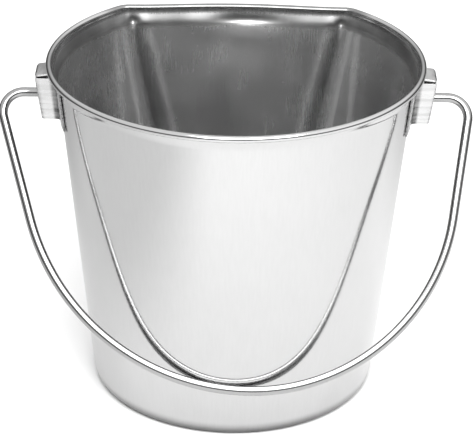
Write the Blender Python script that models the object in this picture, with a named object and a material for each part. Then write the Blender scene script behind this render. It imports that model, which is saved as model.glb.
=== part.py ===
"""Flat-backed stainless steel pail with a free-swinging wire bail.

The pail stands on Z = 0 with its turning axis on the Z axis. The flat back
faces +Y, the bail hangs down the front (-Y) and the two ears are on +X and -X.
All lengths are in metres.

The pieces are the drawn sheet shell with its rolled rim, two folded ears that
are welded to the shell, and one round wire bail whose upset ends are held
inside the ears.
"""

import math

import bmesh
import bpy

# ---- shell -----------------------------------------------------------------
SHEET = 0.0008                # wall thickness of the drawn shell
HEIGHT = 0.2345               # floor of the room to the top of the rolled rim
BASE_RADIUS = 0.0971          # outside of the wall, drawn on down to Z = 0
RIM_RADIUS = 0.127            # outside of the rolled rim
BEAD_RADIUS = 0.00225         # outside radius of the rolled rim's section
NECK_RADIUS = 0.1203          # outside of the straight wall at NECK_HEIGHT
NECK_HEIGHT = 0.230
FLARE_START = 0.2215          # the wall begins to swell out to the rim here
BOTTOM_ROUND = 0.0060         # outside radius where the wall meets the base
CURL_END = math.radians(-110) # where the rolled edge stops, short of the wall
BEAD_HEIGHT = HEIGHT - BEAD_RADIUS

# ---- flat back -------------------------------------------------------------
FLAT_BACK = 0.0920            # outside of the flat, from the pail's axis
CORNER_TOP = 0.0085           # corner radius between flat and round, at the rim
CORNER_FOOT = 0.0300          # the same corner at the base
BOW_START = 0.150             # above this height the flat bows outward
BOW = 0.0045                  # how far it bows out at the rim

# ---- ears ------------------------------------------------------------------
EAR_SHEET = 0.0012
EAR_WIDTH = 0.0220            # across the two side flaps
EAR_FOOT = 0.0185             # length of each welded foot, past its bend
EAR_FOOT_BEND = 0.0035        # middle radius of the bend into a foot
EAR_CORNER_BEND = 0.0019      # middle radius of the bend at the outer face
EAR_TOP_BEND = 0.0014         # middle radius of the bend into the top flap
EAR_BOTTOM_Z = 0.1935
EAR_TOP_Z = 0.2228
EAR_TOP_REACH = 0.1225        # the top flap stops here, clear of the wall
EAR_TOP_HALF_WIDTH = 0.0105
EAR_FACE_X = 0.1322           # outer face at the height of the hole
EAR_LEAN = math.radians(8.0)  # the outer face leans outward going up
EAR_HOLE_RADIUS = 0.0039
WELD_GAP = 0.0003             # the feet stay this far off the wall

# ---- bail ------------------------------------------------------------------
HINGE_Z = 0.2082              # height of both ear holes
WIRE_RADIUS = 0.003175        # quarter-inch wire
BAIL_HALF_WIDTH = 0.1561      # wire centre at the widest part of the shoulders
BAIL_DEPTH = 0.1985           # hinge line to the wire centre at the lowest point
SHOULDER_BEND = 0.0138        # middle radius of the bend out of each ear
LEAN_LEFT = math.radians(15.7)
LEAN_RIGHT = math.radians(8.1)
LOW_POINT_X = 0.0122          # the hand-bent bail hangs its grip off centre
HEAD_RADIUS = 0.0052          # upset end, inside the ear
HEAD_START_X = 0.1235
HEAD_THICKNESS = 0.0030
HEAD_EDGE = 0.0005            # chamfer on the upset end
REST_GAP = 0.0003             # left between the wire and what it leans on

# ---- mesh fineness ---------------------------------------------------------
ARC_STEPS = 48
CORNER_STEPS = 4
FLAT_STEPS = 8
CURL_STEPS = 8
NECK_STEPS = 4
EAR_STEPS = 3
FOOT_STEPS = 4
ROUND_STEPS = 4
BEND_STEPS = 4
SHOULDER_STEPS = 8
SWEEP_STEPS = 22
HOLE_SIDES = 24

STEEL = (0.74, 0.75, 0.76, 1.0)


def mix(start, end, share):
    """The value that lies share of the way from start to end."""
    return start + (end - start) * share


def steps(start, end, count):
    """Evenly spaced values from start to end, both included."""
    return [mix(start, end, i / count) for i in range(count + 1)]


def smooth(share):
    """A 0 to 1 ramp that starts and ends level."""
    share = min(max(share, 0.0), 1.0)
    return share * share * (3.0 - 2.0 * share)


def steel(name, roughness):
    """A bare steel material for one piece."""
    material = bpy.data.materials.new(name)
    material.use_nodes = True
    shader = material.node_tree.nodes["Principled BSDF"]
    shader.inputs["Base Color"].default_value = STEEL
    shader.inputs["Metallic"].default_value = 1.0
    shader.inputs["Roughness"].default_value = roughness
    return material


def add_object(name, data, roughness):
    """Link a new object with a steel material of its own."""
    obj = bpy.data.objects.new(name, data)
    bpy.context.scene.collection.objects.link(obj)
    data.materials.append(steel(name + "_steel", roughness))
    return obj


def finish_mesh(mesh, name):
    """Turn a bmesh into mesh data with smooth round faces."""
    data = bpy.data.meshes.new(name)
    mesh.to_mesh(data)
    mesh.free()
    data.shade_smooth()
    data.set_sharp_from_angle(angle=math.radians(35))
    return data


# ---- shell -----------------------------------------------------------------
def cone_radius(z):
    """Outside radius of the straight round wall at a height."""
    return mix(BASE_RADIUS, NECK_RADIUS, z / NECK_HEIGHT)


def back_bow(z):
    """How far the middle of the flat back stands out at a height."""
    return BOW * smooth((z - BOW_START) / (HEIGHT - BOW_START))


def outline(offset, z):
    """One level ring of the pail: a round with a flat back and eased corners.

    The ring lies offset outside the wall's outer surface, so the same function
    draws the wall, the rim and the inside.
    """
    radius = cone_radius(z) + offset
    flat = FLAT_BACK + offset
    corner = mix(CORNER_FOOT, CORNER_TOP, z / HEIGHT) + offset
    centre_y = flat - corner
    centre_x = math.sqrt((radius - corner) ** 2 - centre_y ** 2)
    turn = math.atan2(centre_y, centre_x)
    ring = [(radius * math.cos(a), radius * math.sin(a))
            for a in steps(math.pi - turn, 2.0 * math.pi + turn, ARC_STEPS)]
    right = steps(turn, math.pi / 2.0, CORNER_STEPS)[1:-1]
    ring += [(centre_x + corner * math.cos(a), centre_y + corner * math.sin(a)) for a in right]
    for x in steps(centre_x, -centre_x, FLAT_STEPS):
        bulge = (1.0 - (x / centre_x) ** 2) ** 2
        ring.append((x, flat + back_bow(z) * bulge))
    ring += [(-centre_x - corner * math.cos(a), centre_y + corner * math.sin(a))
             for a in reversed(right)]
    return [(x, y, z) for x, y in ring]


def wall_levels():
    """Heights of the rings on the plain wall, closer together near the rim."""
    return [0.020, 0.060, 0.100, BOW_START, 0.180, 0.202, FLARE_START]


def flare(z):
    """Outward swell of the wall just under the rim, at the wall's outer face."""
    full = RIM_RADIUS - 2.0 * BEAD_RADIUS + SHEET - cone_radius(BEAD_HEIGHT)
    return full * smooth((z - FLARE_START) / (BEAD_HEIGHT - FLARE_START))


def curl(radius, angle):
    """A point of the rolled rim, as (offset from the wall line, height)."""
    z = BEAD_HEIGHT + radius * math.sin(angle)
    reach = RIM_RADIUS - BEAD_RADIUS + radius * math.cos(angle)
    return reach - cone_radius(z), z


def bottom_round(depth):
    """The rounded foot of the wall, for the surface depth inside the outer one."""
    radius = BOTTOM_ROUND - depth
    return [(radius * math.cos(a) - BOTTOM_ROUND, BOTTOM_ROUND + radius * math.sin(a))
            for a in steps(-math.pi / 2.0, 0.0, ROUND_STEPS)]


def shell_profile():
    """The sheet's section as (offset, height): up the outside, down the inside."""
    neck = steps(FLARE_START, BEAD_HEIGHT, NECK_STEPS)[1:-1]
    outside = [(flare(z), z) for z in wall_levels() + neck]
    inside = [(offset - SHEET, z) for offset, z in outside]
    curl_angles = steps(math.pi, CURL_END, CURL_STEPS)
    profile = bottom_round(0.0) + outside
    profile += [curl(BEAD_RADIUS - SHEET, a) for a in curl_angles]
    profile += [curl(BEAD_RADIUS, a) for a in reversed(curl_angles)]
    profile += list(reversed(inside)) + list(reversed(bottom_round(SHEET)))
    return profile


def make_shell():
    mesh = bmesh.new()
    rings = [[mesh.verts.new(p) for p in outline(*level)] for level in shell_profile()]
    count = len(rings[0])
    for lower, upper in zip(rings, rings[1:]):
        for i in range(count):
            j = (i + 1) % count
            mesh.faces.new((lower[i], lower[j], upper[j], upper[i]))
    mesh.faces.new(reversed(rings[0]))
    mesh.faces.new(rings[-1])
    return add_object("pail_shell", finish_mesh(mesh, "pail_shell"), 0.12)


# ---- ears ------------------------------------------------------------------
def ear_face_x(z):
    """Middle of the ear's outer sheet at a height."""
    return EAR_FACE_X - EAR_SHEET / 2.0 + (z - HINGE_Z) * math.tan(EAR_LEAN)


def foot_x(y, z):
    """Middle of a welded foot, which follows the round wall and its swell."""
    radius = cone_radius(z) + flare(z) + WELD_GAP + EAR_SHEET / 2.0
    return math.sqrt(radius ** 2 - y ** 2)


def ear_section(z):
    """Half of the ear's hat-shaped section: foot, bend, side flap, bend.

    Points run from the tip of the foot at +Y to the edge of the outer face.
    """
    flap_y = EAR_WIDTH / 2.0 - EAR_SHEET / 2.0
    bend_y = flap_y + EAR_FOOT_BEND
    bend_x = foot_x(bend_y, z) + EAR_FOOT_BEND
    corner_x = ear_face_x(z) - EAR_CORNER_BEND
    corner_y = flap_y - EAR_CORNER_BEND
    points = [(foot_x(y, z), y) for y in steps(bend_y + EAR_FOOT, bend_y, FOOT_STEPS)[:-1]]
    points += [(bend_x + EAR_FOOT_BEND * math.cos(a), bend_y + EAR_FOOT_BEND * math.sin(a))
               for a in steps(math.pi, 1.5 * math.pi, BEND_STEPS)]
    points += [(corner_x + EAR_CORNER_BEND * math.cos(a), corner_y + EAR_CORNER_BEND * math.sin(a))
               for a in steps(math.pi / 2.0, 0.0, BEND_STEPS)]
    return points


def top_flap():
    """The top flap's middle line as (x, height, half width), square to the face."""
    outer_x = ear_face_x(EAR_TOP_Z)
    face_half = ear_section(EAR_TOP_Z)[-1][1]
    centre_x = outer_x - EAR_TOP_BEND * math.cos(EAR_LEAN)
    centre_z = EAR_TOP_Z + EAR_TOP_BEND * math.sin(EAR_LEAN)
    line = []
    for share in steps(0.0, 1.0, BEND_STEPS)[1:]:
        angle = share * math.pi / 2.0 - EAR_LEAN
        half = mix(face_half, EAR_TOP_HALF_WIDTH, max(0.0, 2.0 * share - 1.0))
        line.append((centre_x + EAR_TOP_BEND * math.cos(angle),
                     centre_z + EAR_TOP_BEND * math.sin(angle), half))
    last_x, last_z, last_half = line[-1]
    rise = (last_x - EAR_TOP_REACH) * math.tan(EAR_LEAN)
    line.append((EAR_TOP_REACH, last_z + rise, last_half))
    return line


def ear_mesh(side):
    """One folded ear as a mid surface; side is +1 for right, -1 for left."""
    mesh = bmesh.new()
    rows = []
    for z in steps(EAR_BOTTOM_Z, EAR_TOP_Z, EAR_STEPS):
        half = ear_section(z)
        section = half + [(x, -y) for x, y in reversed(half)]
        rows.append([mesh.verts.new((side * x, y, z)) for x, y in section])
    for lower, upper in zip(rows, rows[1:]):
        for i in range(len(lower) - 1):
            mesh.faces.new((lower[i], upper[i], upper[i + 1], lower[i + 1]))
    middle = len(rows[-1]) // 2
    previous = rows[-1][middle - 1:middle + 1]
    for x, z, half in top_flap():
        edge = [mesh.verts.new((side * x, y, z)) for y in (half, -half)]
        mesh.faces.new((previous[0], edge[0], edge[1], previous[1]))
        previous = edge
    if side < 0:
        bmesh.ops.reverse_faces(mesh, faces=mesh.faces[:])
    return mesh


def make_hole_cutter(name, side):
    """A round punch that cuts the wire's hole through an ear's outer face."""
    mesh = bmesh.new()
    length = 4.0 * EAR_SHEET
    bmesh.ops.create_cone(mesh, cap_ends=True, segments=HOLE_SIDES, depth=length,
                          radius1=EAR_HOLE_RADIUS, radius2=EAR_HOLE_RADIUS)
    data = bpy.data.meshes.new(name)
    mesh.to_mesh(data)
    mesh.free()
    cutter = bpy.data.objects.new(name, data)
    bpy.context.scene.collection.objects.link(cutter)
    cutter.location = (side * ear_face_x(HINGE_Z), 0.0, HINGE_Z)
    cutter.rotation_euler = (0.0, math.pi / 2.0, 0.0)
    cutter.hide_render = True
    cutter.display_type = "WIRE"
    return cutter


def make_ear(name, side):
    ear = add_object(name, finish_mesh(ear_mesh(side), name), 0.3)
    solid = ear.modifiers.new("sheet", "SOLIDIFY")
    solid.thickness = EAR_SHEET
    solid.offset = 0.0
    solid.use_even_offset = True
    hole = ear.modifiers.new("wire hole", "BOOLEAN")
    hole.operation = "DIFFERENCE"
    hole.solver = "EXACT"
    hole.object = make_hole_cutter(name + "_punch", side)
    return ear


# ---- bail ------------------------------------------------------------------
def bail_side(lean, low_x):
    """One half of the bail as (outward, down) points, from ear to lowest point.

    A stub leaves the ear, bends down, runs straight with the given lean and
    joins, tangent to it, one round arc that ends level at the lowest point.
    """
    centre_x = BAIL_HALF_WIDTH - SHOULDER_BEND
    points = [(centre_x + SHOULDER_BEND * math.sin(a), SHOULDER_BEND * (1.0 - math.cos(a)))
              for a in steps(0.0, math.pi / 2.0 + lean, SHOULDER_STEPS)]
    leg_x, leg_down = points[-1]
    out_x, out_down = math.cos(lean), math.sin(lean)
    across = (leg_x - low_x) * out_x + (leg_down - BAIL_DEPTH) * out_down
    radius = across / (1.0 - out_down)
    points += [(low_x + radius * math.cos(a), BAIL_DEPTH - radius + radius * math.sin(a))
               for a in steps(lean, math.pi / 2.0, SWEEP_STEPS)]
    return points


def bail_line():
    """The wire's middle line as (x, down) points, from left ear to right ear."""
    left = [(-x, down) for x, down in bail_side(LEAN_LEFT, -LOW_POINT_X)]
    right = bail_side(LEAN_RIGHT, LOW_POINT_X)
    return left + list(reversed(right))[1:]


def wire_clearance(angle):
    """Least distance from the wire's middle line to the round wall.

    The wall is a cone, so a point's distance outside it is the extra radius
    times the cosine of the cone's lean. angle is the bail's, from straight down.
    """
    wall_lean = math.atan2(NECK_RADIUS - BASE_RADIUS, NECK_HEIGHT)
    gaps = []
    for x, down in bail_line():
        radius = math.hypot(x, down * math.sin(angle))
        z = HINGE_Z - down * math.cos(angle)
        gaps.append((radius - cone_radius(z)) * math.cos(wall_lean))
    return min(gaps)


def rest_angle():
    """How far the bail leans forward from straight down, resting on the wall."""
    touching, clear = 0.0, math.pi / 2.0
    for _ in range(40):
        middle = (touching + clear) / 2.0
        if wire_clearance(middle) > WIRE_RADIUS + REST_GAP:
            clear = middle
        else:
            touching = middle
    return clear


def head_points():
    """Along-the-wire stations of an upset end: (outward, radius as a multiple)."""
    head = HEAD_RADIUS / WIRE_RADIUS
    eased = (HEAD_RADIUS - HEAD_EDGE) / WIRE_RADIUS
    back = HEAD_START_X + HEAD_THICKNESS
    return [(HEAD_START_X, eased), (HEAD_START_X + HEAD_EDGE, head),
            (back - HEAD_EDGE, head), (back, eased), (back + HEAD_EDGE, 1.0)]


def make_bail():
    data = bpy.data.curves.new("bail", "CURVE")
    data.dimensions = "3D"
    data.bevel_depth = WIRE_RADIUS
    data.bevel_resolution = 4
    data.use_fill_caps = True
    head = head_points()
    stations = [(-x, 0.0, scale) for x, scale in head]
    stations += [(x, -down, 1.0) for x, down in bail_line()]
    stations += [(x, 0.0, scale) for x, scale in reversed(head)]
    spline = data.splines.new("POLY")
    spline.points.add(len(stations) - 1)
    for point, (x, z, scale) in zip(spline.points, stations):
        point.co = (x, 0.0, z, 1.0)
        point.radius = scale
    spline.use_smooth = True
    bail = add_object("bail", data, 0.15)
    bail.location = (0.0, 0.0, HINGE_Z)
    bail.rotation_euler = (-rest_angle(), 0.0, 0.0)
    return bail


def main():
    for obj in list(bpy.data.objects):
        bpy.data.objects.remove(obj, do_unlink=True)
    make_shell()
    make_ear("ear_left", -1)
    make_ear("ear_right", 1)
    make_bail()


main()
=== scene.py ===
"""A flat-backed stainless steel pail with a wire bail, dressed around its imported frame.

The pail stands on Z = 0 about the Z axis, with its flat back towards +Y and its
bail resting on the front. Every length is in metres and every surface is worked
out with numpy as a grid of two parameters.
"""

import logging
import math
from dataclasses import dataclass
from enum import Enum

import bmesh
import bpy
import numpy as np
from mathutils import Matrix, Vector


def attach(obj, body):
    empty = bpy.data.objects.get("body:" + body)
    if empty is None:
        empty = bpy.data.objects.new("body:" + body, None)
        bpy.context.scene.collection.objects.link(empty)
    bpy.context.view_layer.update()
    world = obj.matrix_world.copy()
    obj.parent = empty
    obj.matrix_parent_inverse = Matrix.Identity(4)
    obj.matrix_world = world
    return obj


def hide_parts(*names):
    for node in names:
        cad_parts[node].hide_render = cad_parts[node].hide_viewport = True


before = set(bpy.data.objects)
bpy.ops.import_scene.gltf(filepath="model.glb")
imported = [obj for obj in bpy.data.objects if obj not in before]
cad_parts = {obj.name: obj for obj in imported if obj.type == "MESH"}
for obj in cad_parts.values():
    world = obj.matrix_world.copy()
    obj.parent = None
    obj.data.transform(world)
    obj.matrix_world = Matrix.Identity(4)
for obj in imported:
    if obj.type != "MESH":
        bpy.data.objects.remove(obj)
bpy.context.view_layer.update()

Array = np.ndarray
Socket = bpy.types.NodeSocket
log = logging.getLogger("pail")


class Slot(Enum):
    """The material slots."""

    POLISHED = "polished_sheet"
    FOLDED = "folded_sheet"
    WIRE = "bright_wire"


class Side(Enum):
    """Which side of the pail an ear is on, as the sign of its X."""

    LEFT = -1.0
    RIGHT = 1.0


# ---- small sums ---------------------------------------------------------------
def mix(start: float | Array, end: float | Array, share: float | Array) -> float | Array:
    """The value that lies share of the way from start to end."""
    return start + (end - start) * share


def ease(share: float | Array) -> Array:
    """A 0 to 1 ramp that starts and ends level."""
    share = np.clip(share, 0.0, 1.0)
    return share * share * (3.0 - 2.0 * share)


def hump(distance: float | Array, width: float) -> Array:
    """A rounded bump of height 1 at distance 0, falling away as exp(-(d / width)^2)."""
    return np.exp(-((distance / width) ** 2))


# ---- mesh making --------------------------------------------------------------
def grid_quads(rows: int, columns: int, closed: bool = False, first: int = 0) -> Array:
    """Quads of a rows by columns grid of points that are numbered row by row.

    Args:
        rows: Number of rows.
        columns: Number of points in a row.
        closed: Whether each row's last point joins its first.
        first: Number of the grid's first point.

    Returns:
        One row of four point numbers for each quad.
    """
    index = np.arange(rows * columns).reshape(rows, columns) + first
    if closed:
        index = np.column_stack([index, index[:, :1]])
    corners = (index[:-1, :-1], index[:-1, 1:], index[1:, 1:], index[1:, :-1])
    return np.stack(corners, axis=-1).reshape(-1, 4)


def fan(ring: Array, centre: int, inwards: bool) -> Array:
    """Triangles that close a ring of points onto one centre point.

    Args:
        ring: Numbers of the ring's points, in order.
        centre: Number of the centre point.
        inwards: Whether the triangles run against the ring's order.

    Returns:
        One row of three point numbers for each triangle.
    """
    after = np.roll(ring, -1)
    middle = np.full_like(ring, centre)
    order = (after, ring, middle) if inwards else (ring, after, middle)
    return np.stack(order, axis=-1)


def closed_tube(rows: int, columns: int) -> list[list[int]]:
    """Faces of a tube of rings, with a fan over each end.

    Args:
        rows: Number of rings.
        columns: Number of points in a ring.

    Returns:
        The point numbers of each face. The two end centres are numbered after the
        rings, the first ring's before the last ring's.
    """
    ring = np.arange(columns)
    count = rows * columns
    faces = grid_quads(rows, columns, closed=True).tolist()
    faces += fan(ring, count, inwards=True).tolist()
    faces += fan(ring + (rows - 1) * columns, count + 1, inwards=False).tolist()
    return faces


def new_mesh(name: str, points: Array, faces: list[list[int]],
             crease: float) -> bpy.types.Object:
    """A linked object with smooth faces, sharp where two faces meet past an angle.

    Args:
        name: The piece's name.
        points: One row of X, Y and Z for each point.
        faces: The point numbers of each face.
        crease: The angle in degrees past which an edge is sharp.

    Returns:
        The new object, at the origin.
    """
    data = bpy.data.meshes.new(name)
    data.from_pydata(points.tolist(), [], faces)
    data.validate()
    data.shade_smooth()
    data.set_sharp_from_angle(angle=math.radians(crease))
    piece = bpy.data.objects.new(name, data)
    bpy.context.scene.collection.objects.link(piece)
    return piece


def store(piece: bpy.types.Object, name: str, kind: str, values: Array) -> None:
    """Keep a value for each point under an attribute name.

    Args:
        piece: The object whose mesh keeps them.
        name: The attribute's name.
        kind: FLOAT or FLOAT_VECTOR.
        values: One value or one row of three for each point.
    """
    attribute = piece.data.attributes.new(name, kind, "POINT")
    field = "value" if kind == "FLOAT" else "vector"
    attribute.data.foreach_set(field, np.ascontiguousarray(values, np.float32).ravel())


# ---- finishes -----------------------------------------------------------------
class Graph:
    """A material's or a world's node tree, with short ways to add to it."""

    def __init__(self, tree: bpy.types.NodeTree) -> None:
        """Keep the tree and empty it."""
        self.tree = tree
        tree.nodes.clear()

    def add(self, kind: str, settings: dict | None = None,
            **sockets: float | tuple[float, ...] | Socket) -> bpy.types.Node:
        """Add a node.

        Args:
            kind: The node's type name without the ShaderNode in front.
            settings: Properties of the node itself.
            **sockets: Values or links of its inputs, with _ for a space in the name;
                i0, i1 and so on reach an input by its place.

        Returns:
            The new node.
        """
        node = self.tree.nodes.new("ShaderNode" + kind)
        for key, value in (settings or {}).items():
            setattr(node, key, value)
        for key, value in sockets.items():
            place = int(key[1:]) if key[0] == "i" and key[1:].isdigit() else key.replace("_", " ")
            socket = node.inputs[place]
            if isinstance(value, Socket):
                self.tree.links.new(value, socket)
            else:
                socket.default_value = value
        return node

    def calculate(self, operation: str, *values: float | Socket) -> Socket:
        """The result of one Math node on two or three values or links."""
        inputs = {f"i{place}": value for place, value in enumerate(values)}
        return self.add("Math", {"operation": operation}, **inputs).outputs[0]

    def times(self, value: Socket, factor: float | Socket) -> Socket:
        """Work out value * factor."""
        return self.calculate("MULTIPLY", value, factor)

    def plus(self, start: float | Socket, value: Socket, factor: float) -> Socket:
        """Work out start + value * factor."""
        return self.calculate("MULTIPLY_ADD", value, factor, start)

    def sway(self, start: float | Socket, value: Socket, factor: float) -> Socket:
        """Work out start + (value - 0.5) * factor, for a value between 0 and 1."""
        return self.plus(start, self.calculate("SUBTRACT", value, 0.5), factor)

    def ramp(self, value: Socket, low: float, high: float, start: float,
             end: float) -> Socket:
        """A smooth rise from start to end while value goes from low to high.

        Args:
            value: The value that is read.
            low: Where the rise starts.
            high: Where it stops.
            start: The result up to low.
            end: The result from high on.

        Returns:
            The result.
        """
        settings = {"interpolation_type": "SMOOTHSTEP"}
        node = self.add("MapRange", settings, i0=value, i1=low, i2=high, i3=start, i4=end)
        return node.outputs[0]

    def noise(self, place: Socket, size: tuple[float, ...], detail: float) -> Socket:
        """Smooth noise with cells of a given size.

        Args:
            place: Where the noise is read.
            size: Length of a cell in metres along each axis.
            detail: How many finer layers it has.

        Returns:
            The noise, from 0 to 1.
        """
        scale = tuple(1.0 / length for length in size)
        spot = self.add("Mapping", None, Vector=place, Scale=scale).outputs[0]
        return self.add("TexNoise", None, Vector=spot, Scale=1.0, Detail=detail).outputs[0]

    def body(self) -> Socket:
        """The object's own coordinates, in metres."""
        return self.add("TexCoord").outputs["Object"]

    def stored(self, name: str, output: str = "Fac") -> Socket:
        """What the mesh keeps for each point under that attribute name."""
        return self.add("Attribute", {"attribute_name": name}).outputs[output]

    def grey(self, tone: Socket) -> Socket:
        """The colour whose red, green and blue are all tone."""
        return self.add("CombineColor", None, i0=tone, i1=tone, i2=tone).outputs[0]


@dataclass(frozen=True)
class SteelFinish:
    """Bare stainless steel with a grain, slow clouding and small scuffs.

    Attributes:
        name: The material's name.
        tone: Grey of the metal, the same for red, green and blue.
        gloss: Roughness of the clean metal.
        grain: Cell size of the grain along X, Y and Z.
        grain_depth: Height of the grain in metres.
        grain_gloss: How much the grain changes the roughness.
        cloud_gloss: How much the slow clouding changes the roughness.
        cloud_tone: How much the slow clouding changes the grey.
        grain_low: Where in its noise the grain is darkest; nearer 0.5 is harder.
        slot: The material slot; not used.
        cloud: Cell size of the clouding.
        scuff: Cell size of the scuffs.
        scuff_band: Where in its noise a scuff starts and is full.
        scuff_gloss: Roughness added in a full scuff.
        least_gloss: Roughness that nothing goes under.
    """

    name: str
    tone: float
    gloss: float
    grain: tuple[float, float, float]
    grain_depth: float
    grain_gloss: float
    cloud_gloss: float
    cloud_tone: float
    grain_low: float
    slot: Slot
    cloud: tuple[float, float, float] = (0.045, 0.045, 0.045)
    scuff: tuple[float, float, float] = (0.0042, 0.0042, 0.0042)
    scuff_band: tuple[float, float] = (0.62, 0.78)
    scuff_gloss: float = 0.02
    least_gloss: float = 0.03

    def place(self, graph: Graph) -> Socket:
        """Where the grain is read: the object's own coordinates."""
        return graph.body()

    def shade(self, graph: Graph, roughness: Socket, tone: Socket) -> tuple[Socket, Socket]:
        """Change the roughness and grey for one kind of piece; here they stay."""
        return roughness, tone

    def material(self) -> bpy.types.Material:
        """Build the material.

        Returns:
            The finished material, which reads the grain at place().
        """
        material = bpy.data.materials.new(self.name)
        material.use_nodes = True
        graph = Graph(material.node_tree)
        body = graph.body()
        fibre = graph.noise(self.place(graph), self.grain, 3.0)
        grain = graph.ramp(fibre, self.grain_low, 1.0 - self.grain_low, 0.0, 1.0)
        cloud = graph.noise(body, self.cloud, 2.0)
        scuff = graph.ramp(graph.noise(body, self.scuff, 4.0), *self.scuff_band, 0.0, 1.0)
        roughness = graph.sway(self.gloss, grain, self.grain_gloss)
        roughness = graph.sway(roughness, cloud, self.cloud_gloss)
        roughness = graph.plus(roughness, scuff, self.scuff_gloss)
        tone = graph.sway(self.tone, cloud, self.cloud_tone)
        tone = graph.sway(tone, grain, self.cloud_tone)
        roughness, tone = self.shade(graph, roughness, tone)
        roughness = graph.calculate("MAXIMUM", roughness, self.least_gloss)
        bump = graph.add("Bump", None, Strength=1.0, Distance=self.grain_depth, Height=fibre)
        steel = graph.add("BsdfPrincipled", None, Base_Color=graph.grey(tone), Metallic=1.0,
                          Roughness=roughness, Normal=bump.outputs[0])
        graph.add("OutputMaterial", None, Surface=steel.outputs[0])
        return material


@dataclass(frozen=True)
class PolishedSheet(SteelFinish):
    """The drawn shell: bright outside, rougher inside, with painted light and shade in its grey.

    Attributes:
        inside_gloss: Roughness of the inside of the pail.
        inside_lit_tone: Grey of the inside of the pail, set lighter than the outside's as painted
            light.
        patch: Cell size of the inside's patches.
        patch_tone: How much the patches change the grey.
        patch_gloss: How much they change the roughness.
        foot_z: Heights between which the darker, rougher band at the foot ends.
        foot_gloss: Roughness added in that band, as wear.
        foot_painted_shade: Change of grey in that band: painted shade, darkening the foot.
        pressed_y: Y between which the rim becomes the pressed rim of the back.
        pressed_z: Heights between which the wall becomes the rim.
        pressed_gloss: Roughness added on the pressed rim.
        back_rim_shade: Change of grey on the pressed rim: painted shade, darkening the back of the
            rim.
        ring_z: Heights between which the ring under the rim's inside starts.
        ring_gloss: Roughness added on that ring.
        ring_shade: Change of grey on that ring: painted shade under the rim's inside.
    """

    inside_gloss: float = 0.26
    inside_lit_tone: float = 0.68
    patch: tuple[float, float, float] = (0.026, 0.034, 0.034)
    patch_tone: float = 0.08
    patch_gloss: float = 0.02
    foot_z: tuple[float, float] = (0.0010, 0.0105)
    foot_gloss: float = 0.12
    foot_painted_shade: float = -0.44
    pressed_y: tuple[float, float] = (0.078, 0.090)
    pressed_z: tuple[float, float] = (0.2285, 0.2305)
    pressed_gloss: float = 0.14
    back_rim_shade: float = -0.26
    ring_z: tuple[float, float] = (0.2185, 0.2240)
    ring_gloss: float = 0.10
    ring_shade: float = -0.44

    def shade(self, graph: Graph, roughness: Socket, tone: Socket) -> tuple[Socket, Socket]:
        """Roughen the inside and the foot, and paint light, shade and highlights into the grey.

        Args:
            graph: The material's node tree.
            roughness: Roughness so far.
            tone: Grey so far.

        Returns:
            The new roughness and grey.
        """
        # Painted light: the inside's grey is raised by inside_lit_tone.
        inside = graph.stored("inside")
        body = graph.body()
        _, back, height = graph.add("SeparateXYZ", None, i0=body).outputs
        # Painted shade: the foot's band is darkened by foot_painted_shade.
        foot = graph.ramp(height, *self.foot_z, 1.0, 0.0)
        # Painted shade: the back of the rim is darkened by back_rim_shade.
        pressed = graph.times(graph.ramp(back, *self.pressed_y, 0.0, 1.0),
                              graph.ramp(height, *self.pressed_z, 0.0, 1.0))
        # Painted shade: the ring under the rim's inside is darkened by ring_shade.
        ring = graph.times(inside, graph.ramp(height, *self.ring_z, 0.0, 1.0))
        # Painted highlights and shade on the back's creases and dents.
        painted_highlight_and_shade = graph.times(graph.stored("painted_highlight_and_shade"), inside)
        patch = graph.ramp(graph.noise(body, self.patch, 1.5), 0.25, 0.75, -0.8, 0.8)
        for where, more_gloss, more_tone in (
                (foot, self.foot_gloss, self.foot_painted_shade),
                (pressed, self.pressed_gloss, self.back_rim_shade),
                (ring, self.ring_gloss, self.ring_shade),
                (painted_highlight_and_shade, 0.0, 1.0),
                (graph.times(patch, inside), self.patch_gloss, self.patch_tone),
                (inside, self.inside_gloss - self.gloss, self.inside_lit_tone - self.tone)):
            roughness = graph.plus(roughness, where, more_gloss)
            tone = graph.plus(tone, where, more_tone)
        return roughness, tone


@dataclass(frozen=True)
class FoldedSheet(SteelFinish):
    """The ears: level grain, with painted shade in the folds and along the feet's free edges.

    Attributes:
        shade_gloss: Roughness added where the painted shade is full.
        shade_tone: Grey taken away where the painted shade is full.
    """

    shade_gloss: float = 0.10
    shade_tone: float = 0.42

    def shade(self, graph: Graph, roughness: Socket, tone: Socket) -> tuple[Socket, Socket]:
        """Paint shade into the folds and the feet's free edges, and dull them.

        Args:
            graph: The material's node tree.
            roughness: Roughness so far.
            tone: Grey so far.

        Returns:
            The new roughness and grey.
        """
        # Painted shade in the folds and at the feet's free edges.
        painted_shade = graph.stored("painted_shade")
        return (graph.plus(roughness, painted_shade, self.shade_gloss),
                graph.plus(tone, painted_shade, -self.shade_tone))


@dataclass(frozen=True)
class DrawnWire(SteelFinish):
    """The bail: bright wire with faint die lines that run along it."""

    def place(self, graph: Graph) -> Socket:
        """Where the die lines are read: round the wire and along it."""
        return graph.stored("draw", "Vector")


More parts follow.
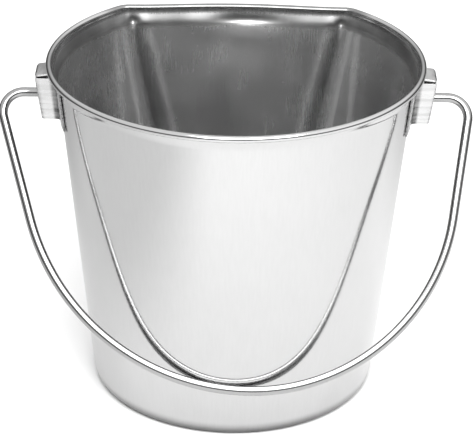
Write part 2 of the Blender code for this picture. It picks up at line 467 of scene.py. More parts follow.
# ---- shell --------------------------------------------------------------------
@dataclass
class Shell:
    """The drawn sheet: a round pail pressed flat at the back, with a rolled rim.

    Attributes:
        finish: The sheet's finish.
        sheet: Wall thickness.
        height: Z = 0 to the top of the rim.
        base_radius: Outside of the wall, drawn on down to Z = 0.
        neck_radius: Outside of the straight wall at neck_height.
        neck_height: Where neck_radius is measured.
        rim_radius: Outside of the rolled rim.
        bead: Outside radius of the rolled rim's section.
        flare_start: Height where the wall starts to swell to the rim.
        foot: Outside radius where the wall meets the base.
        curl_end: Where on its circle the rolled rim stops.
        flat: Outside of the flat back, from the axis.
        corner_top: Corner radius between flat and round at the rim.
        corner_foot: The same corner at the base.
        bow_start: Height where the flat starts to bow outwards.
        bow: How far the flat stands out at the rim.
        wave: Height of the slow waves in the flat.
        crease_z: The two heights at which a crease's X is given.
        creases: X at the upper and lower height, width, depth and added grey of each; the added
            grey is a painted highlight, or painted shade where it is below 0.
        dents: X, Z, width, height and depth of each dent near the rim.
        dent_highlight: Painted highlight added to the grey in the middle of a dent.
        arc_steps: Steps round the round wall.
        corner_steps: Steps round one corner.
        flat_steps: Steps across the flat.
    """

    finish: SteelFinish
    sheet: float = 0.0008
    height: float = 0.2345
    base_radius: float = 0.0971
    neck_radius: float = 0.1203
    neck_height: float = 0.230
    rim_radius: float = 0.127
    bead: float = 0.00225
    flare_start: float = 0.2215
    foot: float = 0.0060
    curl_end: float = math.radians(-113.0)
    flat: float = 0.0920
    corner_top: float = 0.0085
    corner_foot: float = 0.0300
    bow_start: float = 0.150
    bow: float = 0.0045
    wave: float = 0.00007
    crease_z: tuple[float, float] = (0.22, 0.06)
    creases: tuple[tuple[float, float, float, float, float], ...] = (
        (-0.0795, -0.0545, 0.0013, -0.0005, 0.90), (0.0795, 0.0525, 0.0013, -0.0005, 0.90),
        (-0.0740, -0.0440, 0.0040, 0.0005, -0.14), (0.0730, 0.0400, 0.0040, 0.0005, -0.14),
        (-0.0640, -0.0270, 0.0036, -0.0005, 0.40), (0.0650, 0.0300, 0.0036, -0.0005, 0.40),
        (0.0850, 0.0760, 0.0016, 0.0005, 0.70), (-0.0860, -0.0740, 0.0024, 0.0004, 0.30),
    )
    dents: tuple[tuple[float, float, float, float, float], ...] = (
        (0.0080, 0.2235, 0.0200, 0.0032, 0.0018),
        (-0.0730, 0.2235, 0.0026, 0.0026, 0.0015), (0.0735, 0.2230, 0.0026, 0.0026, 0.0015),
        (-0.0640, 0.2180, 0.0040, 0.0032, 0.0010), (0.0660, 0.2200, 0.0035, 0.0032, 0.0009),
    )
    dent_highlight: float = 0.42
    arc_steps: int = 220
    corner_steps: int = 22
    flat_steps: int = 84

    @property
    def bead_height(self) -> float:
        """Height of the middle of the rolled rim."""
        return self.height - self.bead

    def cone(self, z: float | Array) -> float | Array:
        """Outside radius of the straight round wall: a line in z."""
        return mix(self.base_radius, self.neck_radius, z / self.neck_height)

    def swell(self, z: Array) -> Array:
        """How far the wall stands out under the rim: an eased rise to the bead."""
        full = self.rim_radius - 2.0 * self.bead + self.sheet - self.cone(self.bead_height)
        return full * ease((z - self.flare_start) / (self.bead_height - self.flare_start))

    def rings(self, offset: Array, z: Array, shrink: Array) -> Array:
        """Level rings round the pail, one for each offset, height and shrink.

        A ring is an arc of the cone's circle, a corner arc tangent to it, a flat
        with a shallow bow of (1 - u^2)^2, and the mirrored corner arc. The whole
        ring is then scaled towards the axis by shrink.

        Args:
            offset: How far each ring lies outside the wall's outer face.
            z: Height of each ring.
            shrink: Scale of each ring about the axis, 1 on the wall.

        Returns:
            Points as rows by columns by three.
        """
        radius = (self.cone(z) + offset)[:, None]
        flat = (self.flat + offset)[:, None]
        corner = (mix(self.corner_foot, self.corner_top, z / self.height) + offset)[:, None]
        centre_y = flat - corner
        centre_x = np.sqrt((radius - corner) ** 2 - centre_y ** 2)
        turn = np.arctan2(centre_y, centre_x)
        around = np.linspace(0.0, 1.0, self.arc_steps + 1)[None, :]
        angle = math.pi - turn + around * (math.pi + 2.0 * turn)
        part = np.linspace(0.0, 1.0, self.corner_steps + 1)[None, 1:-1]
        bend = mix(turn, math.pi / 2.0, part)
        across = np.linspace(1.0, -1.0, self.flat_steps + 1)[None, :]
        bowed = self.bow * ease((z - self.bow_start) / (self.height - self.bow_start))[:, None]
        right_x = centre_x + corner * np.cos(bend)
        corner_y = centre_y + corner * np.sin(bend)
        flat_y = flat + bowed * (1.0 - across ** 2) ** 2
        x = np.hstack([radius * np.cos(angle), right_x, centre_x * across, -right_x[:, ::-1]])
        y = np.hstack([radius * np.sin(angle), corner_y, flat_y, corner_y[:, ::-1]])
        height = np.broadcast_to(z[:, None], x.shape)
        y = y + self.press_marks(x, y, height) * (shrink == 1.0)[:, None]
        return np.stack([x * shrink[:, None], y * shrink[:, None], height], axis=-1)

    def across_crease(self, x: Array, z: Array, top_x: float, low_x: float,
                      width: float) -> Array:
        """A rounded bump across one crease, which is a straight line in X and Z.

        Args:
            x: X of each point.
            z: Height of each point.
            top_x: The crease's X at its upper height.
            low_x: The crease's X at its lower height.
            width: How far off the line the bump has mostly died away.

        Returns:
            The bump, from 0 to 1.
        """
        top_z, low_z = self.crease_z
        return hump(x - mix(low_x, top_x, (z - low_z) / (top_z - low_z)), width)

    def on_back(self, y: Array) -> Array:
        """How much a point belongs to the back: 0 on the round wall, 1 on the flat."""
        return ease((y - 0.05) / 0.02)

    def press_marks(self, x: Array, y: Array, z: Array) -> Array:
        """How far the press pushed the back about, along Y.

        Each crease is a straight line in X and Z, crossed by a rounded bump. Each
        dent is a rounded bump in both. Between them the flat waves a little, as a
        sum of three slow sines. All fade out below the rim and away from the back.

        Args:
            x: X of each point.
            y: Y of each point.
            z: Height of each point.

        Returns:
            The shift along Y.
        """
        fade = ease((self.bead_height - 0.0015 - z) / 0.010) * ease((z - 0.02) / 0.05)
        shift = np.zeros_like(x)
        for top_x, low_x, width, depth, _ in self.creases:
            shift += depth * self.across_crease(x, z, top_x, low_x, width) * fade
        for mid_x, mid_z, wide, tall, depth in self.dents:
            shift += depth * hump(x - mid_x, wide) * hump(z - mid_z, tall)
        wave = (np.sin(130.0 * x + 61.0 * z) + np.sin(74.0 * x - 118.0 * z + 1.3)
                + np.sin(38.0 * x + 171.0 * z + 4.1))
        shift += self.wave * wave * fade * ease((0.075 - np.abs(x)) / 0.03)
        return shift * self.on_back(y)

    def painted_highlight_and_shade(self, x: Array, y: Array, z: Array) -> Array:
        """How much grey is painted on the back: painted highlights along the creases and in the
        dents, painted shade where a crease's grey is below 0.

        Args:
            x: X of each point.
            y: Y of each point.
            z: Height of each point.

        Returns:
            What to add to the grey, a rounded bump across each crease.
        """
        total = np.zeros_like(x)
        for top_x, low_x, width, _, bright in self.creases:
            total += bright * self.across_crease(x, z, top_x, low_x, width)
        total *= ease((0.2225 - z) / 0.006)
        for mid_x, mid_z, wide, tall, _ in self.dents:
            total += self.dent_highlight * hump(x - mid_x, 0.8 * wide) * hump(z - mid_z, 0.8 * tall)
        return total * self.on_back(y)

    def section(self) -> Array:
        """The sheet's section, which the rings carry round the pail.

        It runs from the middle of the underside out to the foot, up the outside,
        round the rolled rim's two skins, down the inside and over the floor.

        Returns:
            Rows of offset, height, shrink and inside.
        """
        out = np.linspace(0.03, 1.0, 14)[:-1]
        quarter = np.linspace(-math.pi / 2.0, 0.0, 9)
        wall = np.linspace(self.foot, self.flare_start, 38)[1:]
        neck = np.linspace(self.flare_start, self.bead_height, 22)[1:]
        roll = np.linspace(math.pi, self.curl_end, 25)
        rise = np.concatenate([wall, neck])
        skin = self.bead - self.sheet
        inner_foot = self.foot - self.sheet

        def rows(offset: Array, z: Array, shrink: float | Array = 1.0,
                 inside: float | Array = 0.0) -> Array:
            """Stack one stretch of the section."""
            return np.stack(np.broadcast_arrays(offset, z, shrink, inside), axis=-1)

        def curl(radius: float, angle: Array) -> Array:
            """A skin of the rolled rim: a circle about the bead's middle.

            Args:
                radius: The circle's radius.
                angle: Where on it each row lies.

            Returns:
                The skin's rows.
            """
            z = self.bead_height + radius * np.sin(angle)
            reach = self.rim_radius - self.bead + radius * np.cos(angle)
            return rows(reach - self.cone(z), z)

        swell = self.swell(rise)
        dull = ease((self.bead_height - rise) / 0.006)
        return np.concatenate([
            rows(-self.foot, 0.0, out),
            rows(self.foot * np.cos(quarter) - self.foot, self.foot + self.foot * np.sin(quarter)),
            rows(swell[:-1], rise[:-1]),
            curl(skin, roll),
            curl(self.bead, roll[::-1])[:-1],
            rows(swell - self.sheet, rise, 1.0, dull)[::-1],
            rows(inner_foot * np.cos(quarter) - self.foot,
                 self.foot + inner_foot * np.sin(quarter), 1.0, 1.0)[::-1],
            rows(-self.foot, self.sheet, out[::-1], 1.0),
        ])

    def build(self) -> bpy.types.Object:
        """Build the shell as one closed sheet and dress it.

        Returns:
            The finished piece, riding on the pail.
        """
        offset, z, shrink, inside = self.section().T
        points = self.rings(offset, z, shrink)
        rows, columns = points.shape[:2]
        middles = np.array([[0.0, 0.0, 0.0], [0.0, 0.0, self.sheet]])
        piece = new_mesh("shell_sheet", np.concatenate([points.reshape(-1, 3), middles]),
                         closed_tube(rows, columns), 35.0)
        store(piece, "inside", "FLOAT", np.concatenate([np.repeat(inside, columns), [0.0, 1.0]]))
        # Painted highlights and shade on the back, read by the polished finish.
        painted_highlight_and_shade = self.painted_highlight_and_shade(*(points[..., axis].ravel() for axis in range(3)))
        store(piece, "painted_highlight_and_shade", "FLOAT", np.concatenate([painted_highlight_and_shade, [0.0, 0.0]]))
        piece.data.materials.append(self.finish.material())
        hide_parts("pail_shell")
        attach(piece, "pail")
        return piece


# ---- ears ---------------------------------------------------------------------
@dataclass
class Ear:
    """One folded ear: two feet, two side flaps, an outer face and a top flap.

    It is built on +X and mirrored for the left. Its rear half is on +Y, its fore
    half on -Y.

    Attributes:
        finish: The sheet's finish.
        shell: The shell whose wall the feet follow.
        side: The side of the pail it is on.
        name: The piece's name.
        node: The node it stands for.
        sheet: Thickness of the folded sheet.
        width: Across the two side flaps.
        foot: Length of each welded foot past its bend.
        foot_lift: How far a foot's free edge stands off the wall at the top.
        foot_bend: Middle radius of the bend into a foot.
        corner_bend: Middle radius of the bend at the outer face.
        top_bend: Middle radius of the bend into the top flap.
        bottom: Height of the ear's lower edge.
        top: Height of the side flaps' upper edge.
        reach: Where the top flap stops, short of the wall.
        flap_half: Half width of the top flap.
        face: Outer face, from the axis, at the height of the hole.
        lean: How far the outer face leans outward going up.
        hole: Radius of the wire's hole.
        gap: Space between a foot and the wall.
        hinge: Height of the hole.
        height_steps: Steps from bottom to top.
        face_steps: Steps across the outer face.
        bend_steps: Steps round each bend.
        hole_rings: Rings of points from the hole to the edge of the face.
        edge_ease: Width of the eased edges.
        tip_strip: Width of the painted dark strip at a foot's free edge.
        tip_shade: Painted shade of that strip.
        foot_shade: Painted shade of a foot beside its bend.
    """

    finish: SteelFinish
    shell: Shell
    side: Side
    name: str
    node: str
    sheet: float = 0.0012
    width: float = 0.0220
    foot: float = 0.0185
    foot_lift: float = 0.0001
    foot_bend: float = 0.0035
    corner_bend: float = 0.0019
    top_bend: float = 0.0014
    bottom: float = 0.1935
    top: float = 0.2228
    reach: float = 0.1225
    flap_half: float = 0.0105
    face: float = 0.1322
    lean: float = math.radians(8.0)
    hole: float = 0.0039
    gap: float = 0.0003
    hinge: float = 0.2082
    height_steps: int = 22
    face_steps: int = 14
    bend_steps: int = 8
    hole_rings: int = 8
    edge_ease: float = 0.00022
    tip_strip: float = 0.0002
    tip_shade: float = 0.85
    foot_shade: float = 0.40

    def face_x(self, z: float | Array) -> float | Array:
        """Middle of the outer face's sheet: a line that leans out with height."""
        return self.face - self.sheet / 2.0 + (z - self.hinge) * math.tan(self.lean)

    def half_section(self, z: Array) -> Array:
        """Half of the hat-shaped section at each height, from foot tip to face.

        A foot on the wall's circle, a quarter bend out, a straight side flap and
        a quarter bend to the outer face.

        Args:
            z: Heights.

        Returns:
            X and Y as heights by points by two.
        """
        z = z[:, None]
        flap_y = (self.width - self.sheet) / 2.0
        bend_y = flap_y + self.foot_bend
        wall = self.shell.cone(z) + self.shell.swell(z) + self.gap + self.sheet / 2.0
        tip_y = bend_y + self.foot
        foot_y = np.linspace(tip_y - self.tip_strip, bend_y, 9)[:-1]
        foot_y = np.concatenate([[tip_y], foot_y])[None, :]
        lifted = ease((foot_y - bend_y) / self.foot)
        lifted = lifted * self.foot_lift * ease((z - self.bottom) / (self.top - self.bottom))
        bend_x = np.sqrt(wall ** 2 - bend_y ** 2) + self.foot_bend
        corner_x = self.face_x(z) - self.corner_bend
        corner_y = flap_y - self.corner_bend
        turn = np.linspace(math.pi, 1.5 * math.pi, self.bend_steps + 1)[None, :]
        over = np.linspace(math.pi / 2.0, 0.0, self.bend_steps + 1)[None, :]
        flap = np.linspace(0.0, 1.0, 10)[None, 1:-1]
        x = np.hstack([
            np.sqrt((wall + lifted) ** 2 - foot_y ** 2),
            bend_x + self.foot_bend * np.cos(turn),
            mix(bend_x, corner_x, flap),
            corner_x + self.corner_bend * np.cos(over),
        ])
        level = np.ones_like(z)
        y = np.hstack([
            foot_y * level,
            (bend_y + self.foot_bend * np.sin(turn)) * level,
            np.full_like(flap, flap_y) * level,
            (corner_y + self.corner_bend * np.sin(over)) * level,
        ])
        return np.stack([x, y], axis=-1)

    def painted_shade(self, z: Array) -> Array:
        """How much painted shade half a section has at each height, from foot tip to face.

        It is full at the foot's tip, none just past it, rises over the foot and is
        fullest in the bend, and fades within the side flap. It grows downwards.

        Args:
            z: Heights.

        Returns:
            One value from 0 to 1 for each point of half_section.
        """
        foot = self.foot_shade * ease(np.linspace(-0.2, 1.0, 9)[:-1])
        foot[0] = self.tip_shade
        bend = mix(self.foot_shade, 1.0, ease(np.linspace(0.0, 1.6, self.bend_steps + 1)))
        flap = ease(1.0 - np.linspace(0.0, 1.0, 10)[1:-1] * 4.5)
        face = np.zeros(self.bend_steps + 1)
        row = np.concatenate([foot, bend, flap, face])
        grown = mix(1.0, 0.62, ease((z - self.bottom) / (self.top - self.bottom)))[:, None]
        return np.hstack([np.full_like(grown, self.tip_shade), row[None, :] * grown])

    def flanks(self, z: Array) -> tuple[Array, Array]:
        """The two bent flanks of the ear, each a grid of heights by section.

        Args:
            z: Heights of the rows.

        Returns:
            The flank on +Y, from foot to face, and the one on -Y, from face to foot.
        """
        half = self.half_section(z)
        height = np.broadcast_to(z[:, None], half.shape[:2])
        rear = np.dstack([half[..., 0], half[..., 1], height])
        fore = (rear * (1.0, -1.0, 1.0))[:, ::-1]
        return rear, fore

    def holed_face(self, rear: Array, fore: Array) -> Array:
        """The outer face with its round hole, as rings from the hole to the edge.

        Each point of the face's edge is joined to the nearest point of the hole's
        circle by a straight line, and the rings lie along those lines, closer
        together near the hole.

        Args:
            rear: The +Y flank's last column, from bottom to top.
            fore: The -Y flank's first column, from bottom to top.

        Returns:
            Points as rings by edge points by three.
        """
        across = np.linspace(0.0, 1.0, self.face_steps + 1)[1:-1, None]
        top = mix(rear[-1], fore[-1], across)
        low = mix(fore[0], rear[0], across)
        edge = np.concatenate([rear, top, fore[::-1], low])
        centre = np.array([self.face_x(self.hinge), 0.0, self.hinge])
        ray = edge - centre
        ray = ray / np.hypot(ray[:, 1], ray[:, 2])[:, None]
        hole = centre + self.hole * ray
        share = np.linspace(0.0, 1.0, self.hole_rings)[:, None, None] ** 1.4
        return mix(hole, edge, share)

    def top_flap(self, rear: Array, fore: Array) -> Array:
        """The flap folded in over the top: a bend and a straight run to the wall.

        Args:
            rear: The face's top corner on +Y.
            fore: The face's top corner on -Y.

        Returns:
            Points as rows along the flap by points across it by three.
        """
        share = np.linspace(0.0, 1.0, self.bend_steps + 1)[1:]
        angle = share * math.pi / 2.0 - self.lean
        x = self.face_x(self.top) + self.top_bend * (np.cos(angle) - math.cos(self.lean))
        z = self.top + self.top_bend * (np.sin(angle) + math.sin(self.lean))
        run = np.linspace(0.0, 1.0, 9)[1:]
        rise = (x[-1] - self.reach) * math.tan(self.lean)
        x = np.concatenate([x, mix(x[-1], self.reach, run)])
        z = np.concatenate([z, z[-1] + rise * run])
        widen = np.concatenate([ease(2.0 * share - 1.0), np.ones_like(run)])
        half = mix(rear[1], self.flap_half, widen)
        y = half[:, None] * np.linspace(1.0, -1.0, self.face_steps + 1)[None, :]
        level = np.ones_like(y)
        return np.dstack([x[:, None] * level, y, z[:, None] * level])

    def build(self) -> bpy.types.Object:
        """Build the ear from its flanks, face and flap, then give the sheet thickness.

        Returns:
            The finished piece, riding on the pail.
        """
        z = np.linspace(self.bottom, self.top, self.height_steps + 1)
        rear, fore = self.flanks(z)
        painted_shade = self.painted_shade(z)
        face = self.holed_face(rear[:, -1], fore[:, 0])
        edge_row = mix(rear[-1, -1], fore[-1, 0],
                       np.linspace(0.0, 1.0, self.face_steps + 1)[:, None])
        flap = np.concatenate([edge_row[None], self.top_flap(rear[-1, -1], fore[-1, 0])])
        faces: list[list[int]] = []
        points = np.zeros((0, 3))
        painted_shades = np.zeros(0)
        for patch, shade, closed, turned in (
                (rear, painted_shade, False, True), (fore, painted_shade[:, ::-1], False, True),
                (face, np.zeros(face.shape[:2]), True, True),
                (flap, np.zeros(flap.shape[:2]), False, False)):
            quads = grid_quads(*patch.shape[:2], closed=closed, first=len(points))
            faces += (quads[:, ::-1] if turned else quads).tolist()
            points = np.concatenate([points, patch.reshape(-1, 3)])
            painted_shades = np.concatenate([painted_shades, shade.ravel()])
        points = points * (self.side.value, 1.0, 1.0)
        piece = new_mesh(self.name, points, faces, 60.0)
        # Painted shade for the folds and the feet's free edges.
        store(piece, "painted_shade", "FLOAT", painted_shades)
        self.finish_sheet(piece)
        piece.data.materials.append(self.finish.material())
        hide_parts(self.node)
        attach(piece, "pail")
        return piece

    def finish_sheet(self, piece: bpy.types.Object) -> None:
        """Join the patches, face them outwards, and add thickness and eased edges.

        Args:
            piece: The ear as a sheet without thickness.
        """
        work = bmesh.new()
        work.from_mesh(piece.data)
        bmesh.ops.remove_doubles(work, verts=work.verts[:], dist=1e-6)
        bmesh.ops.recalc_face_normals(work, faces=work.faces[:])
        work.faces.ensure_lookup_table()
        outer = max(work.faces, key=lambda face: abs(face.calc_center_median().x))
        if outer.normal.x * self.side.value < 0.0:
            bmesh.ops.reverse_faces(work, faces=work.faces[:])
        work.to_mesh(piece.data)
        work.free()
        solid = piece.modifiers.new("sheet", "SOLIDIFY")
        solid.thickness = self.sheet
        solid.offset = 0.0
        solid.use_even_offset = True
        edge = piece.modifiers.new("edge", "BEVEL")
        edge.width = self.edge_ease
        edge.segments = 2
        edge.limit_method = "ANGLE"
        edge.angle_limit = math.radians(50.0)
        edge.harden_normals = True


# ---- bail ---------------------------------------------------------------------
@dataclass
class Bail:
    """The round wire bail, bent by hand, with an upset head inside each ear.

    Attributes:
        finish: The wire's finish.
        shell: The shell that the bail leans on.
        hinge: Height of both holes.
        wire: Radius of the wire.
        half_width: Wire centre at the widest part of the shoulders.
        depth: Hinge line to the wire centre at the lowest point.
        shoulder: Middle radius of the bend out of each ear.
        lean_left: Lean of the left leg.
        lean_right: Lean of the right leg.
        low_x: Where along X the bail hangs lowest.
        head: Radius of the upset head.
        head_start: Inner end of the head, from the pail's axis.
        head_thickness: Length of the head.
        head_edge: Rounding of the head's edge.
        rest_gap: Space left between the wire and the wall it leans on.
        sides: Points round the wire.
    """

    finish: SteelFinish
    shell: Shell
    hinge: float = 0.2082
    wire: float = 0.003175
    half_width: float = 0.1561
    depth: float = 0.1985
    shoulder: float = 0.0138
    lean_left: float = math.radians(15.7)
    lean_right: float = math.radians(8.1)
    low_x: float = 0.0122
    head: float = 0.0052
    head_start: float = 0.1235
    head_thickness: float = 0.0030
    head_edge: float = 0.0005
    rest_gap: float = 0.0003
    sides: int = 40

    def half_line(self, lean: float, low_x: float) -> Array:
        """One half of the wire's middle line, from the shoulder to the lowest point.

        A bend leaves the ear and turns down, a straight leg runs at the given lean,
        and one arc tangent to the leg ends level at the lowest point.

        Args:
            lean: The leg's lean from straight down.
            low_x: The lowest point's X, measured outward on this side.

        Returns:
            Rows of outward and down.
        """
        bend = np.linspace(0.0, math.pi / 2.0 + lean, 27)
        centre_x = self.half_width - self.shoulder
        turned = np.stack([centre_x + self.shoulder * np.sin(bend),
                           self.shoulder * (1.0 - np.cos(bend))], axis=-1)
        leg_x, leg_down = turned[-1]
        across = (leg_x - low_x) * math.cos(lean) + (leg_down - self.depth) * math.sin(lean)
        radius = across / (1.0 - math.sin(lean))
        angle = np.linspace(lean, math.pi / 2.0, 150)
        arc = np.stack([low_x + radius * np.cos(angle),
                        self.depth - radius + radius * np.sin(angle)], axis=-1)
        leg = mix(turned[-1], arc[0], np.linspace(0.0, 1.0, 12)[1:-1, None])
        return np.concatenate([turned, leg, arc])

    def line(self) -> Array:
        """The wire's middle line in its own plane, from left shoulder to right.

        Returns:
            Rows of x and down.
        """
        left = self.half_line(self.lean_left, -self.low_x) * (-1.0, 1.0)
        right = self.half_line(self.lean_right, self.low_x)
        return np.concatenate([left, right[::-1][1:]])

    def clearance(self, angle: float) -> float:
        """Least distance from the wire's middle line to the round wall.

        The wall is a cone, so it is the extra radius times the cosine of its lean.

        Args:
            angle: How far the bail leans forward from straight down.

        Returns:
            The distance.
        """
        shell = self.shell
        lean = math.atan2(shell.neck_radius - shell.base_radius, shell.neck_height)
        x, down = self.line().T
        radius = np.hypot(x, down * math.sin(angle))
        z = self.hinge - down * math.cos(angle)
        return float(np.min(radius - shell.cone(z))) * math.cos(lean)

    def rest_angle(self) -> float:
        """How far the bail leans forward from straight down, found by halving.

        Returns:
            The angle at which the wire is rest_gap off the wall.
        """
        touching, clear = 0.0, math.pi / 2.0
        for _ in range(40):
            middle = (touching + clear) / 2.0
            if self.clearance(middle) > self.wire + self.rest_gap:
                clear = middle
            else:
                touching = middle
        return clear

    def head_line(self) -> Array:
        """An upset head with rounded edges, and the short neck into the wire.

        Returns:
            Rows of outward and radius.
        """
        edge = np.linspace(0.0, math.pi / 2.0, 5)
        eased = self.head_edge * (1.0 - np.sin(edge))
        back = self.head_start + self.head_thickness
        start = np.stack([self.head_start + self.head_edge * (1.0 - np.cos(edge)),
                          self.head - eased], axis=-1)
        end = np.stack([back - self.head_edge * (1.0 - np.cos(edge[::-1])),
                        self.head - eased[::-1]], axis=-1)
        neck = np.array([[back + 0.0001, self.wire + 0.0003], [back + 0.0006, self.wire]])
        return np.concatenate([start, end, neck])

    def stations(self) -> Array:
        """The wire from end to end, heads included.

        Returns:
            Rows of x, down and radius.
        """
        head = self.head_line()
        out = np.stack([head[:, 0], np.zeros(len(head)), head[:, 1]], axis=-1)
        middle = self.line()
        wire = np.column_stack([middle, np.full(len(middle), self.wire)])
        return np.concatenate([out * (-1.0, 1.0, 1.0), wire, out[::-1]])

    def build(self) -> bpy.types.Object:
        """Carry a circle along the wire's line and dress the tube.

        Each ring is the circle centre + r (cos a n + sin a b), where n is square to
        the line in the bail's plane and b is square to that plane.

        Returns:
            The finished piece, riding on the bail.
        """
        x, down, radius = self.stations().T
        middle = np.stack([x, down], axis=-1)
        ahead = np.gradient(middle, axis=0)
        ahead = ahead / np.linalg.norm(ahead, axis=1)[:, None]
        stub = len(self.head_line())
        ahead[:stub] = (-1.0, 0.0)
        ahead[-stub:] = (-1.0, 0.0)
        turn = np.linspace(0.0, 2.0 * math.pi, self.sides, endpoint=False)
        in_plane = radius[:, None] * np.cos(turn)[None, :]
        square = radius[:, None] * np.sin(turn)[None, :]
        side_x = x[:, None] - ahead[:, 1:] * in_plane
        side_down = down[:, None] + ahead[:, :1] * in_plane
        rest = self.rest_angle()
        y = -side_down * math.sin(rest) - square * math.cos(rest)
        z = self.hinge - side_down * math.cos(rest) + square * math.sin(rest)
        points = np.stack([side_x, y, z], axis=-1)
        ends = np.array([[x[0], 0.0, self.hinge], [x[-1], 0.0, self.hinge]])
        piece = new_mesh("bail_wire", np.concatenate([points.reshape(-1, 3), ends]),
                         closed_tube(len(x), self.sides), 40.0)
        self.face_out(piece)
        self.mark_draw(piece, middle, turn)
        piece.data.materials.append(self.finish.material())
        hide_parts("bail")
        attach(piece, "bail")
        log.info("the bail rests %.2f degrees forward of straight down", math.degrees(rest))
        return piece

    def face_out(self, piece: bpy.types.Object) -> None:
        """Turn every face of a closed piece outwards.

        Args:
            piece: The piece.
        """
        work = bmesh.new()
        work.from_mesh(piece.data)
        bmesh.ops.recalc_face_normals(work, faces=work.faces[:])
        work.to_mesh(piece.data)
        work.free()

    def mark_draw(self, piece: bpy.types.Object, middle: Array, turn: Array) -> None:
        """Store round-the-wire and along-the-wire coordinates, in metres.

        Args:
            piece: The tube.
            middle: The line's points.
            turn: The angles of a ring's points.
        """
        along = np.concatenate([[0.0], np.cumsum(np.linalg.norm(np.diff(middle, axis=0), axis=1))])
        around = np.stack([np.cos(turn), np.sin(turn)], axis=-1) * self.wire
        rows = len(along)
        grid = np.dstack([np.tile(around, (rows, 1)).reshape(rows, self.sides, 2),
                          np.repeat(along[:, None], self.sides, axis=1)])
        ends = np.array([[0.0, 0.0, along[0]], [0.0, 0.0, along[-1]]])
        store(piece, "draw", "FLOAT_VECTOR", np.concatenate([grid.reshape(-1, 3), ends]))


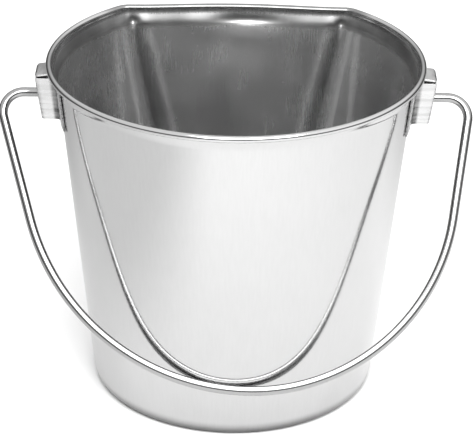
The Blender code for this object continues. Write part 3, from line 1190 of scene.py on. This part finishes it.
# ---- studio -------------------------------------------------------------------
@dataclass
class Studio:
    """A white floor under a soft dome that is dark at the horizon, and the camera.

    Attributes:
        floor_radius: Radius of the round floor.
        floor_white: How much light the floor gives back to the pail.
        floor_seen: The same for the floor that is looked at directly, burnt out to white.
        left_floor_shade: Share of floor_white that is left far out on the left: painted shade on
            the floor.
        left_x: X between which it falls to that share.
        back_floor_shade: Share of floor_white that is left behind the pail: painted shade on the
            floor.
        back_y: Y between which it falls to that share.
        horizon: Brightness of the dome at the horizon.
        zenith: Brightness of the dome overhead.
        dome_rise: Sines of the heights between which it goes from one to the other.
        dome_sides: Share of the dome's brightness at the far left and far right.
        behind: Share of the dome's brightness that is left behind the pail.
        key_watts: Power of the soft box above the front.
        key_size: Its width and height.
        key_place: Where it hangs, facing the pail.
        distance: Camera to its aim.
        elevation: Camera above the horizon, in degrees.
        roll: Turn of the camera about its own axis, in degrees.
        lens: Focal length in millimetres.
        aim: What the camera looks at.
    """

    floor_radius: float = 1.4
    floor_white: float = 0.90
    floor_seen: float = 0.98
    left_floor_shade: float = 0.72
    left_x: tuple[float, float] = (-0.30, -0.06)
    back_floor_shade: float = 0.62
    back_y: tuple[float, float] = (0.06, 0.40)
    horizon: float = 0.10
    zenith: float = 1.25
    dome_rise: tuple[float, float] = (0.10, 0.62)
    dome_sides: tuple[float, float] = (0.75, 1.10)
    behind: float = 0.95
    key_watts: float = 9.5
    key_size: tuple[float, float] = (0.8, 0.6)
    key_place: tuple[float, float, float] = (0.10, -0.62, 0.85)
    distance: float = 1.6066
    elevation: float = 26.69
    roll: float = 0.8
    lens: float = 176.6
    aim: tuple[float, float, float] = (0.0020, 0.0, 0.1114)

    def floor(self) -> bpy.types.Object:
        """A round floor at Z = 0: rings of a circle, widening outwards.

        Returns:
            The floor.
        """
        turn = np.linspace(0.0, 2.0 * math.pi, 96, endpoint=False)
        reach = self.floor_radius * np.linspace(0.0, 1.0, 25)[1:] ** 2
        x = reach[:, None] * np.cos(turn)
        y = reach[:, None] * np.sin(turn)
        points = np.stack([x, y, np.zeros_like(x)], axis=-1)
        rows, columns = x.shape
        faces = grid_quads(rows, columns, closed=True)[:, ::-1].tolist()
        faces += fan(np.arange(columns), rows * columns, inwards=False).tolist()
        points = np.concatenate([points.reshape(-1, 3), np.zeros((1, 3))])
        floor = new_mesh("floor", points, faces, 30.0)
        material = bpy.data.materials.new("matt_white_floor")
        material.use_nodes = True
        graph = Graph(material.node_tree)
        place = graph.body()
        fleck = graph.noise(place, (0.03, 0.03, 0.03), 2.0)
        white = graph.ramp(fleck, 0.2, 0.8, self.floor_white - 0.006, self.floor_white + 0.006)
        across, away, _ = graph.add("SeparateXYZ", None, i0=place).outputs
        # Painted shade: the floor's white falls off to the left and behind the pail.
        white = graph.times(white, graph.ramp(across, *self.left_x, self.left_floor_shade, 1.0))
        white = graph.times(white, graph.ramp(away, *self.back_y, 1.0, self.back_floor_shade))
        paint = graph.add("BsdfDiffuse", None, Color=graph.grey(white), Roughness=0.4)
        bright = graph.add("BsdfDiffuse", None, Roughness=0.4,
                           Color=(self.floor_seen,) * 3 + (1.0,))
        seen = graph.add("LightPath").outputs["Is Camera Ray"]
        both = graph.add("MixShader", None, i0=seen, i1=paint.outputs[0], i2=bright.outputs[0])
        graph.add("OutputMaterial", None, Surface=both.outputs[0])
        floor.data.materials.append(material)
        return floor

    def dome(self) -> None:
        """Light the scene from all round: dark at the horizon, brighter overhead."""
        world = bpy.data.worlds.new("soft_dome")
        bpy.context.scene.world = world
        world.use_nodes = True
        graph = Graph(world.node_tree)
        way = graph.add("TexCoord").outputs["Generated"]
        across, away, up = graph.add("SeparateXYZ", None, i0=way).outputs
        dome = graph.ramp(up, *self.dome_rise, self.horizon, self.zenith)
        dome = graph.times(dome, graph.ramp(across, -1.0, 1.0, *self.dome_sides))
        light = graph.times(dome, graph.ramp(away, -0.4, 0.9, 1.15, self.behind))
        seen = graph.add("LightPath").outputs["Is Camera Ray"]
        white = (1.0, 1.0, 1.0, 1.0)
        lit = graph.add("Background", None, Color=white, Strength=light)
        plain = graph.add("Background", None, Color=white, Strength=1.0)
        both = graph.add("MixShader", None, i0=seen, i1=lit.outputs[0], i2=plain.outputs[0])
        graph.add("OutputWorld", None, Surface=both.outputs[0])

    def soft_box(self) -> bpy.types.Object:
        """Hang the soft box above the front, facing the pail.

        Returns:
            The light.
        """
        data = bpy.data.lights.new("soft_box", "AREA")
        data.shape = "RECTANGLE"
        data.size, data.size_y = self.key_size
        data.energy = self.key_watts
        light = bpy.data.objects.new("soft_box", data)
        light.location = self.key_place
        aim = Vector((0.0, 0.0, 0.1)) - light.location
        light.rotation_euler = aim.to_track_quat("-Z", "Y").to_euler()
        bpy.context.scene.collection.objects.link(light)
        return light

    def camera(self) -> bpy.types.Object:
        """Stand the camera in front of the pail, above it, and aim it.

        Returns:
            The scene's camera.
        """
        data = bpy.data.cameras.new("camera")
        data.lens = self.lens
        data.sensor_width = 36.0
        data.clip_start = 0.05
        data.clip_end = 50.0
        camera = bpy.data.objects.new("camera", data)
        rise, roll = math.radians(self.elevation), math.radians(self.roll)
        back = Vector((0.0, -math.cos(rise), math.sin(rise)))
        level = Vector((1.0, 0.0, 0.0))
        over = back.cross(level)
        right = level * math.cos(roll) + over * math.sin(roll)
        top = over * math.cos(roll) - level * math.sin(roll)
        stand = Matrix((right, top, back)).transposed().to_4x4()
        stand.translation = Vector(self.aim) + back * self.distance
        camera.matrix_world = stand
        bpy.context.scene.collection.objects.link(camera)
        bpy.context.scene.camera = camera
        return camera

    def build(self) -> None:
        """Set the floor, the light, the camera and a plain picture transform."""
        self.floor()
        self.dome()
        self.soft_box()
        self.camera()
        bpy.context.scene.view_settings.view_transform = "Standard"


POLISHED = PolishedSheet(
    name="polished_sheet_steel", tone=0.55, gloss=0.10, grain=(0.0012, 0.0012, 0.05),
    grain_depth=0.0000015, grain_gloss=0.03, cloud_gloss=0.04, cloud_tone=0.02,
    grain_low=0.22, slot=Slot.POLISHED)
FOLDED = FoldedSheet(
    name="folded_sheet_steel", tone=0.62, gloss=0.26, grain=(0.03, 0.03, 0.0022),
    grain_depth=0.00003, grain_gloss=0.22, cloud_gloss=0.06, cloud_tone=0.22,
    grain_low=0.33, slot=Slot.FOLDED)
WIRE = DrawnWire(
    name="bright_drawn_wire", tone=0.38, gloss=0.12, grain=(0.0006, 0.0006, 0.03),
    grain_depth=0.0000015, grain_gloss=0.04, cloud_gloss=0.03, cloud_tone=0.03,
    grain_low=0.25, slot=Slot.WIRE)


def main() -> None:
    """Build the studio and each piece in order, and report each one."""
    logging.basicConfig(level=logging.INFO, format="%(message)s")
    Studio().build()
    shell = Shell(POLISHED)
    pieces = [
        shell.build(),
        Ear(FOLDED, shell, Side.LEFT, "ear_left_folded", "ear_left").build(),
        Ear(FOLDED, shell, Side.RIGHT, "ear_right_folded", "ear_right").build(),
        Bail(WIRE, shell).build(),
    ]
    for piece in pieces:
        log.info("%s: %d points, %d faces", piece.name, len(piece.data.vertices),
                 len(piece.data.polygons))


if __name__ == "__main__":
    main()
